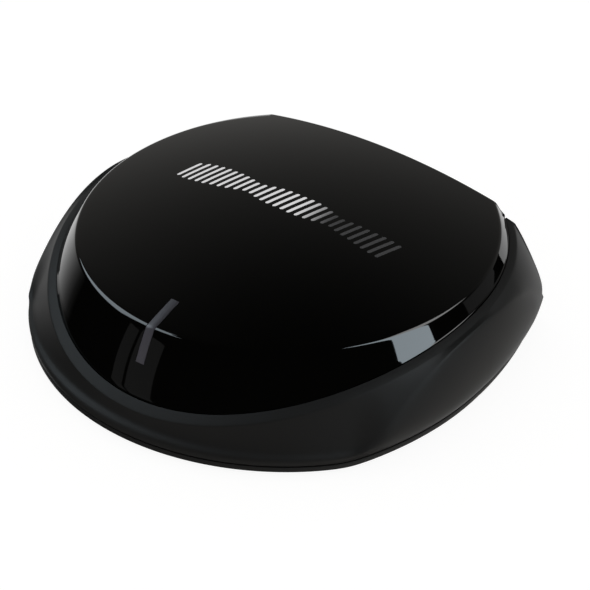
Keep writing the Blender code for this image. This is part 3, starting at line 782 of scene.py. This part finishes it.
def make_supply_pin():
    """The supply jack's centre pin, with a domed tip."""
    x, z = axis_of("dc_jack_pin")
    low, high = box_of("dc_jack_pin")
    start, tip, radius = low[1], high[1], (high[0] - low[0]) / 2
    profile = [(0, start), (radius, start)]
    profile += [(radius * cos(t), tip - radius + radius * sin(t))
                for t in np.linspace(0, QUARTER, 7)[:-1]]
    profile += [(0, tip)]
    return finish_mesh("supply_pin_fine", turned_mesh(profile, (x, 0, z), "Y", 40),
                       replaces=["dc_jack_pin"])


def make_button():
    """The pairing button: a flanged cap with a rounded rim and a dished face."""
    x, z = axis_of("pair_button")
    low, high = box_of("pair_button")
    face, flange_r, radius, stem_r = high[1], (high[0] - low[0]) / 2, 2.0, 1.2
    stem_end, flange_end, edge = BEHIND_WALL - 1.2, BEHIND_WALL - 0.7, 0.3
    dish_r, dish = 1.55, 0.2
    profile = [(0, stem_end), (stem_r, stem_end), (stem_r, flange_end), (flange_r, flange_end),
               (flange_r, BEHIND_WALL), (radius, BEHIND_WALL), (radius, face - edge)]
    profile += [(radius - edge * (1 - cos(t)), face - edge + edge * sin(t))
                for t in np.linspace(0, QUARTER, 6)[1:]]
    profile += [(r, face - dish * (1 - (r / dish_r) ** 2)) for r in (dish_r, 1.3, 1.0, 0.7, 0.35, 0)]
    return finish_mesh("button_cap", turned_mesh(profile, (x, 0, z), "Y", 96), "button",
                       ["pair_button"])


# Print on the cover: a plain row of rounded bars, bright on the left and faint on the right

def bar_stations(x, half_length, half_width, lean=0.28):
    """A leaning bar with round ends, as (left x, right x, y) stations along it."""
    straight = half_length - half_width
    ends = [(straight + half_width * cos(t), max(half_width * sin(t), 0.03))
            for t in np.linspace(0, QUARTER, 5)[:-1]]
    sides = [(y, half_width) for y in np.linspace(straight, 0, 5)]
    upper = ends + sides
    stations = upper + [(-y, width) for y, width in upper[-2::-1]]
    return [(x + lean * y - width, x + lean * y + width, MARK_Y + y) for y, width in stations]


def make_mark():
    """A row of bars of changing length that hug the dome."""
    sunk, raised = -0.03, 0.012
    shell = Shell()
    for i in range(MARK_BARS):
        share = i / (MARK_BARS - 1)
        x = mixed(-MARK_HALF, MARK_HALF, share)
        swell = abs(sin(2.5 * pi * share + 0.5)) * (1 - 0.35 * share) + 0.25 * abs(cos(9 * share))
        rings = []
        for left, right, y in bar_stations(x, 0.8 + 1.7 * min(swell, 1.0), 0.26):
            corners = ((left, sunk), (right, sunk), (right, raised), (left, raised))
            rings.append(shell.add([(px, y, dome_height(px, y) + lift) for px, lift in corners]))
        shell.loops(rings)
        for ring in (rings[0], rings[-1]):
            shell.bm.faces.new(ring)
    return finish_mesh("cover_mark", shell.bm)


def make_light_bar():
    """A bar whose outer face follows the dome and the skirt, with softly rounded edges."""
    side = []
    for share in np.linspace(0, 1, 9):
        y = -EDGE_R + INDICATOR_TOP_LEN * (1 - share)
        side.append((y, dome_height(0, y)))
    corner = len(side) - 1
    for share in np.linspace(0, 1, 8)[1:]:
        depth = INDICATOR_DROP * share
        side.append((-skirt_radius(depth), EDGE_Z - TILT * EDGE_R - depth))
    side = np.array(side)
    above, below = (mixed(side[corner], side[k], 0.35) for k in (corner - 1, corner + 1))
    bend = side[corner] * 0.5 + (above + below) * 0.25
    side = np.vstack([side[:corner], [above, bend, below], side[corner + 1:]])
    along = np.gradient(side, axis=0)
    along /= np.hypot(along[:, 0], along[:, 1])[:, None]
    inward = np.stack([-along[:, 1], along[:, 0]], axis=1)
    half, edge, thick = INDICATOR_W / 2, 0.08, 1.5
    near = 0.3 * edge
    section = [(-half, thick), (-half, edge), (-half + near, near), (-half + edge, 0.0),
               (half - edge, 0.0), (half - near, near), (half, edge), (half, thick)]
    shell = Shell()
    rings = []
    for (y, z), (ny, nz) in zip(side, inward):
        rings.append(shell.add([(x, y + ny * depth, z + nz * depth) for x, depth in section]))
    shell.loops(rings)
    for ring in (rings[0], rings[-1]):
        shell.bm.faces.new(ring)
    return finish_mesh("light_bar", shell.bm, replaces=["indicator_lens"])


cover = make_cover()
housing = make_housing()
base_shell = make_base_plate()
light_bar = make_light_bar()
feet = make_feet()
base_screws = make_base_screws()
jacks = [make_jack("audio_jack", "audio_jack_ring", nose_r=2.8, bore_r=1.8,
                   nose_end=REAR_Y - 0.4, bore_start=9.8),
         make_jack("dc_jack", "dc_jack_pin", nose_r=2.9, bore_r=1.9,
                   nose_end=REAR_Y - 0.3, bore_start=12.2)]
ring_fine = make_jack_ring()
pin_fine = make_supply_pin()
button_cap = make_button()
mark = make_mark()


# Materials

def new_material(name):
    made = bpy.data.materials.new(name)
    made.use_nodes = True
    return made, made.node_tree, made.node_tree.nodes["Principled BSDF"]


def plastic(name, color, rough, grain=0.0, grain_size=0.00016, rough_change=0.04, tone=0.12,
            metal=0.0, coat=0.0, specular=0.5):
    """Moulded plastic or sheet metal: tone and roughness vary a little, with a fine grain."""
    made, tree, shader = new_material(name)
    nodes, links = tree.nodes, tree.links
    place = nodes.new("ShaderNodeTexCoord")
    broad = nodes.new("ShaderNodeTexNoise")
    broad.inputs["Scale"].default_value = 90.0
    broad.inputs["Detail"].default_value = 3.0
    links.new(place.outputs["Object"], broad.inputs["Vector"])
    ramp = nodes.new("ShaderNodeMapRange")
    ramp.inputs["To Min"].default_value = rough - rough_change
    ramp.inputs["To Max"].default_value = rough + rough_change
    links.new(broad.outputs["Fac"], ramp.inputs["Value"])
    links.new(ramp.outputs["Result"], shader.inputs["Roughness"])
    mix = nodes.new("ShaderNodeMix")
    mix.data_type = "RGBA"
    mix.inputs["A"].default_value = (*[c * (1 - tone) for c in color], 1)
    mix.inputs["B"].default_value = (*[c * (1 + tone) for c in color], 1)
    fine = nodes.new("ShaderNodeTexNoise")
    fine.inputs["Scale"].default_value = 1 / grain_size
    fine.inputs["Detail"].default_value = 2.0
    links.new(place.outputs["Object"], fine.inputs["Vector"])
    links.new(fine.outputs["Fac"], mix.inputs["Factor"])
    links.new(mix.outputs["Result"], shader.inputs["Base Color"])
    if grain:
        bump = nodes.new("ShaderNodeBump")
        bump.inputs["Strength"].default_value = grain
        bump.inputs["Distance"].default_value = 0.02 * MM
        links.new(fine.outputs["Fac"], bump.inputs["Height"])
        links.new(bump.outputs["Normal"], shader.inputs["Normal"])
    shader.inputs["Metallic"].default_value = metal
    shader.inputs["Coat Weight"].default_value = coat
    shader.inputs["Specular IOR Level"].default_value = specular
    return made


def paint(obj, material):
    obj.data.materials.clear()
    obj.data.materials.append(material)
    for polygon in obj.data.polygons:
        polygon.material_index = 0


FADE_FROM_X = 2.0
FADE_TO_X = 8.0
FAINT_GREY = (0.050, 0.050, 0.052, 1)


def glowing_print():
    """White print that turns to a faint grey on the right. Its colour also glows a little, which is a
    painted glow, as the print is no lamp.
    """
    made = plastic("mark_print_painted_glow", (0.88, 0.88, 0.90), 0.32, tone=0.03)
    nodes, links = made.node_tree.nodes, made.node_tree.links
    shader = nodes["Principled BSDF"]
    source = shader.inputs["Base Color"].links[0].from_socket
    place = nodes.new("ShaderNodeTexCoord")
    split = nodes.new("ShaderNodeSeparateXYZ")
    links.new(place.outputs["Object"], split.inputs["Vector"])
    fade = nodes.new("ShaderNodeMapRange")
    fade.interpolation_type = "SMOOTHSTEP"
    fade.inputs["From Min"].default_value = FADE_FROM_X * MM
    fade.inputs["From Max"].default_value = FADE_TO_X * MM
    links.new(split.outputs["X"], fade.inputs["Value"])
    mix = nodes.new("ShaderNodeMix")
    mix.data_type = "RGBA"
    mix.inputs["B"].default_value = FAINT_GREY
    links.new(fade.outputs["Result"], mix.inputs["Factor"])
    links.new(source, mix.inputs["A"])
    links.new(mix.outputs["Result"], shader.inputs["Base Color"])
    # The print's colour is also its emission: painted brightness, a glow on print that is no lamp
    links.new(mix.outputs["Result"], shader.inputs["Emission Color"])
    shader.inputs["Emission Strength"].default_value = 0.35
    return made


matte = plastic("matte_housing", (0.0105, 0.0102, 0.0098), 0.50, grain=0.35, specular=0.18)
gloss = plastic("gloss_cover", (0.0022, 0.0022, 0.0020), 0.035, rough_change=0.012, tone=0.02)
bar_grey = plastic("bar_grey", (0.052, 0.050, 0.062), 0.32, grain=0.08)
rubber = plastic("foot_rubber", (0.022, 0.022, 0.022), 0.8, grain=0.5)
button_black = plastic("button_black", (0.030, 0.030, 0.031), 0.42, grain=0.2)
port_black = plastic("port_black", (0.020, 0.020, 0.021), 0.38, grain=0.15)
chip_black = plastic("chip_black", (0.022, 0.022, 0.023), 0.55, grain=0.3)
tinned = plastic("tinned_metal", (0.62, 0.62, 0.60), 0.28, grain=0.1, tone=0.05, metal=1.0)
contact = plastic("contact_brass", (0.78, 0.58, 0.28), 0.26, grain=0.1, tone=0.06, metal=1.0)
screw_steel = plastic("screw_steel", (0.36, 0.36, 0.37), 0.34, grain=0.15, tone=0.08, metal=1.0)
pin_steel = plastic("pin_steel", (0.56, 0.56, 0.57), 0.25, grain=0.08, tone=0.05, metal=1.0)
laminate = plastic("board_laminate", (0.018, 0.110, 0.050), 0.38, grain=0.12, tone=0.15)
ferrite = plastic("ferrite", (0.045, 0.045, 0.050), 0.66, grain=0.45, tone=0.2)
copper = plastic("copper_track", (0.72, 0.36, 0.20), 0.32, grain=0.1, tone=0.08, metal=1.0)
film = plastic("antenna_film", (0.42, 0.21, 0.05), 0.35, grain=0.05, tone=0.08)
ceramic = plastic("ceramic_white", (0.74, 0.74, 0.71), 0.42, grain=0.1, tone=0.04)
red_lens = plastic("emitter_red", (0.50, 0.03, 0.025), 0.18, tone=0.06, coat=0.4)
acrylic = plastic("light_guide", (0.72, 0.75, 0.78), 0.12, tone=0.03, coat=0.5)
label_grey = plastic("label", (0.36, 0.36, 0.37), 0.46, grain=0.12, tone=0.05)

# Material and the record's slot for each of the new pieces
for obj, material, slot in (
        (cover, gloss, "cover_gloss"), (housing, matte, "housing_matte"),
        (base_shell, matte, "housing_matte"), (light_bar, bar_grey, "indicator"),
        *((foot, rubber, "foot_rubber") for foot in feet),
        *((screw, screw_steel, "screw_steel") for screw in base_screws),
        *((jack, port_black, "port_plastic") for jack in jacks),
        (ring_fine, tinned, "tinned_metal"), (pin_fine, tinned, "tinned_metal"),
        (button_cap, button_black, "button_plastic"), (mark, glowing_print(), "label")):
    paint(obj, material)

# The CAD nodes that are shown as they are, by the record's slot
FINISHES = {
    "cover_gloss": gloss, "housing_matte": matte, "indicator": bar_grey, "light_guide": acrylic,
    "button_plastic": button_black, "port_plastic": port_black, "tinned_metal": tinned,
    "contact_brass": contact, "screw_steel": screw_steel, "pin_steel": pin_steel,
    "board_laminate": laminate, "chip_epoxy": chip_black, "ferrite": ferrite,
    "copper_track": copper, "antenna_film": film, "ceramic_white": ceramic,
    "emitter_red": red_lens, "foot_rubber": rubber, "label": label_grey,
}
for part in frame["record"]["subparts"]:
    paint(frame["nodes"][part["node"]], FINISHES[part["material_slot"]])


# Camera, floor and lights

LIGHT_FROM_BELOW = 2.3
LIGHT_FROM_ABOVE = 0.30
CAMERA_RIGHT = (0.7926, 0.6097, 0.0)
CAMERA_UP = (-0.3469, 0.4510, 0.8223)
CAMERA_BACK = (0.5014, -0.6518, 0.5690)
CAMERA_PLACE = (5.656, -7.299, 5.987)       # from the edge circle's middle, in its radii


def make_camera():
    """The camera stands in front on the right, and looks down on the unit."""
    data = bpy.data.cameras.new("camera")
    data.lens = 142.5
    data.sensor_width = 36.0
    data.clip_start = 0.01
    data.clip_end = 10.0
    camera = bpy.data.objects.new("camera", data)
    place = (Vector((0, AXIS_Y, EDGE_Z)) + Vector(CAMERA_PLACE) * EDGE_R) * MM
    rotation = Matrix((CAMERA_RIGHT, CAMERA_UP, CAMERA_BACK)).transposed().to_4x4()
    camera.matrix_world = Matrix.Translation(place) @ rotation
    bpy.context.scene.collection.objects.link(camera)
    bpy.context.scene.camera = camera


def emission(name, color, strength):
    """A light's material, as strong as the card's own glow attribute says."""
    made = bpy.data.materials.new(name)
    made.use_nodes = True
    nodes, links = made.node_tree.nodes, made.node_tree.links
    nodes.clear()
    glow = nodes.new("ShaderNodeEmission")
    glow.inputs["Color"].default_value = (*color, 1)
    share = nodes.new("ShaderNodeAttribute")
    share.attribute_name = "glow"
    scale = nodes.new("ShaderNodeMath")
    scale.operation = "MULTIPLY"
    scale.inputs[1].default_value = strength
    links.new(share.outputs["Fac"], scale.inputs[0])
    links.new(scale.outputs["Value"], glow.inputs["Strength"])
    output = nodes.new("ShaderNodeOutputMaterial")
    links.new(glow.outputs["Emission"], output.inputs["Surface"])
    return made


# How strong a card is at a place on it, from 0 to 1 across and up

def even(across, up):
    return 1.0


def fading(across, up):
    """Strongest at the foot, and gone at the top and at both sides."""
    sides = eased(across / 0.25) * eased((1 - across) / 0.25)
    return float(sides * (1 - eased(up)))


def fading_left(across, up):
    """Even, but gone at the end that lies to the left of the unit."""
    return float(1 - eased((across - 0.7) / 0.3))


def rising(across, up):
    """Weaker at the front than at the back."""
    return float(mixed(0.35, 1.0, across))


def soft_ends(across, up):
    """Even, with a soft upper and lower end."""
    return float(eased(up / 0.12) * eased((1 - up) / 0.12))


def card(name, azimuths, elevations, distance, color, strength, lean=0.0, glow=even):
    """A softbox or reflector: a patch of a sphere round the unit. Azimuth 0 is +X, 90 is +Y.

    lean moves the top edge round by so many degrees. glow(across, up) is the share of the
    strength at a place on the card, from 0 to 1 both ways.
    """
    steps = 24
    bm = bmesh.new()
    layer = bm.verts.layers.float.new("glow")
    grid = []
    for up in np.linspace(0, 1, steps + 1):
        line = []
        el = radians(mixed(*elevations, up))
        for across in np.linspace(0, 1, steps + 1):
            az = radians(mixed(*azimuths, across) + lean * up)
            vert = bm.verts.new((distance * cos(el) * cos(az), distance * cos(el) * sin(az),
                                 distance * sin(el) + EDGE_Z * MM))
            vert[layer] = glow(across, up)
            line.append(vert)
        grid.append(line)
    for low, high in zip(grid, grid[1:]):
        for i in range(steps):
            bm.faces.new((low[i], low[i + 1], high[i + 1], high[i]))
    mesh = bpy.data.meshes.new(name)
    bm.to_mesh(mesh)
    bm.free()
    made = bpy.data.objects.new(name, mesh)
    made.data.materials.append(emission(name, color, strength))
    made.visible_camera = False
    made.visible_shadow = False
    made.visible_diffuse = False
    bpy.context.scene.collection.objects.link(made)


def make_lights():
    """Softboxes and reflectors, which only the glossy surfaces see."""
    cool = (0.80, 0.92, 1.0)
    white = (1.0, 1.0, 1.0)
    warm = (1.0, 0.98, 0.94)
    card("window", (-2, 18), (10, 74), 0.7, cool, 6.0, lean=4)
    card("strip_right", (20, 54), (32, 66), 0.7, white, 4.0, lean=-4, glow=soft_ends)
    card("softbox_left", (171, 215), (24, 62), 0.7, cool, 3.6)
    card("backdrop", (40, 190), (0, 75), 1.2, warm, 0.24, glow=fading)
    card("table_behind", (75, 192), (-60, 0), 0.5, white, 1.0, glow=fading_left)
    card("table_right", (-45, 72), (-62, -7), 0.5, warm, 0.9, glow=rising)
    card("dim_left", (-134, -128), (-25, 14), 0.6, white, 0.12)
    card("dim_middle", (-126.5, -113), (-25, 16), 0.6, white, 0.14)
    card("dim_right", (40, 66), (-2, 14), 0.6, white, 0.15)


def make_floor():
    """A plain pale floor, clear from below so that the underside can be looked at."""
    bm = bmesh.new()
    bmesh.ops.create_grid(bm, x_segments=1, y_segments=1, size=3.0)
    mesh = bpy.data.meshes.new("floor")
    bm.to_mesh(mesh)
    bm.free()
    floor = bpy.data.objects.new("floor", mesh)
    made, tree, shader = new_material("pale_floor")
    shader.inputs["Base Color"].default_value = (0.25, 0.25, 0.25, 1)
    shader.inputs["Roughness"].default_value = 0.9
    shader.inputs["Specular IOR Level"].default_value = 0.0
    shader.inputs["Emission Color"].default_value = (1, 1, 1, 1)
    shader.inputs["Emission Strength"].default_value = 0.91
    side = tree.nodes.new("ShaderNodeNewGeometry")
    clear = tree.nodes.new("ShaderNodeBsdfTransparent")
    mix = tree.nodes.new("ShaderNodeMixShader")
    tree.links.new(side.outputs["Backfacing"], mix.inputs["Fac"])
    tree.links.new(shader.outputs["BSDF"], mix.inputs[1])
    tree.links.new(clear.outputs["BSDF"], mix.inputs[2])
    tree.links.new(mix.outputs["Shader"], tree.nodes["Material Output"].inputs["Surface"])
    floor.data.materials.append(made)
    floor.location.z = -0.02 * MM          # just below the feet, so that no faces coincide
    floor.visible_glossy = False
    floor.visible_diffuse = False
    bpy.context.scene.collection.objects.link(floor)


def make_world():
    """Pale where the camera looks past the floor; its light is stronger from below, as off a
    white table, than from above."""
    world = bpy.data.worlds.new("world")
    bpy.context.scene.world = world
    world.use_nodes = True
    nodes, links = world.node_tree.nodes, world.node_tree.links
    background = nodes["Background"]
    background.inputs["Color"].default_value = (1.0, 0.99, 0.97, 1)
    place = nodes.new("ShaderNodeTexCoord")
    split = nodes.new("ShaderNodeSeparateXYZ")
    links.new(place.outputs["Generated"], split.inputs["Vector"])
    height = nodes.new("ShaderNodeMapRange")
    height.inputs["From Min"].default_value = -0.6
    height.inputs["From Max"].default_value = 0.6
    height.inputs["To Min"].default_value = LIGHT_FROM_BELOW
    height.inputs["To Max"].default_value = LIGHT_FROM_ABOVE
    links.new(split.outputs["Z"], height.inputs["Value"])
    path = nodes.new("ShaderNodeLightPath")
    strength = nodes.new("ShaderNodeMix")
    strength.inputs["B"].default_value = 0.97
    links.new(path.outputs["Is Camera Ray"], strength.inputs["Factor"])
    links.new(height.outputs["Result"], strength.inputs["A"])
    links.new(strength.outputs["Result"], background.inputs["Strength"])
    world.cycles_visibility.glossy = False


make_camera()
make_lights()
make_floor()
make_world()
bpy.context.scene.view_settings.view_transform = "Standard"
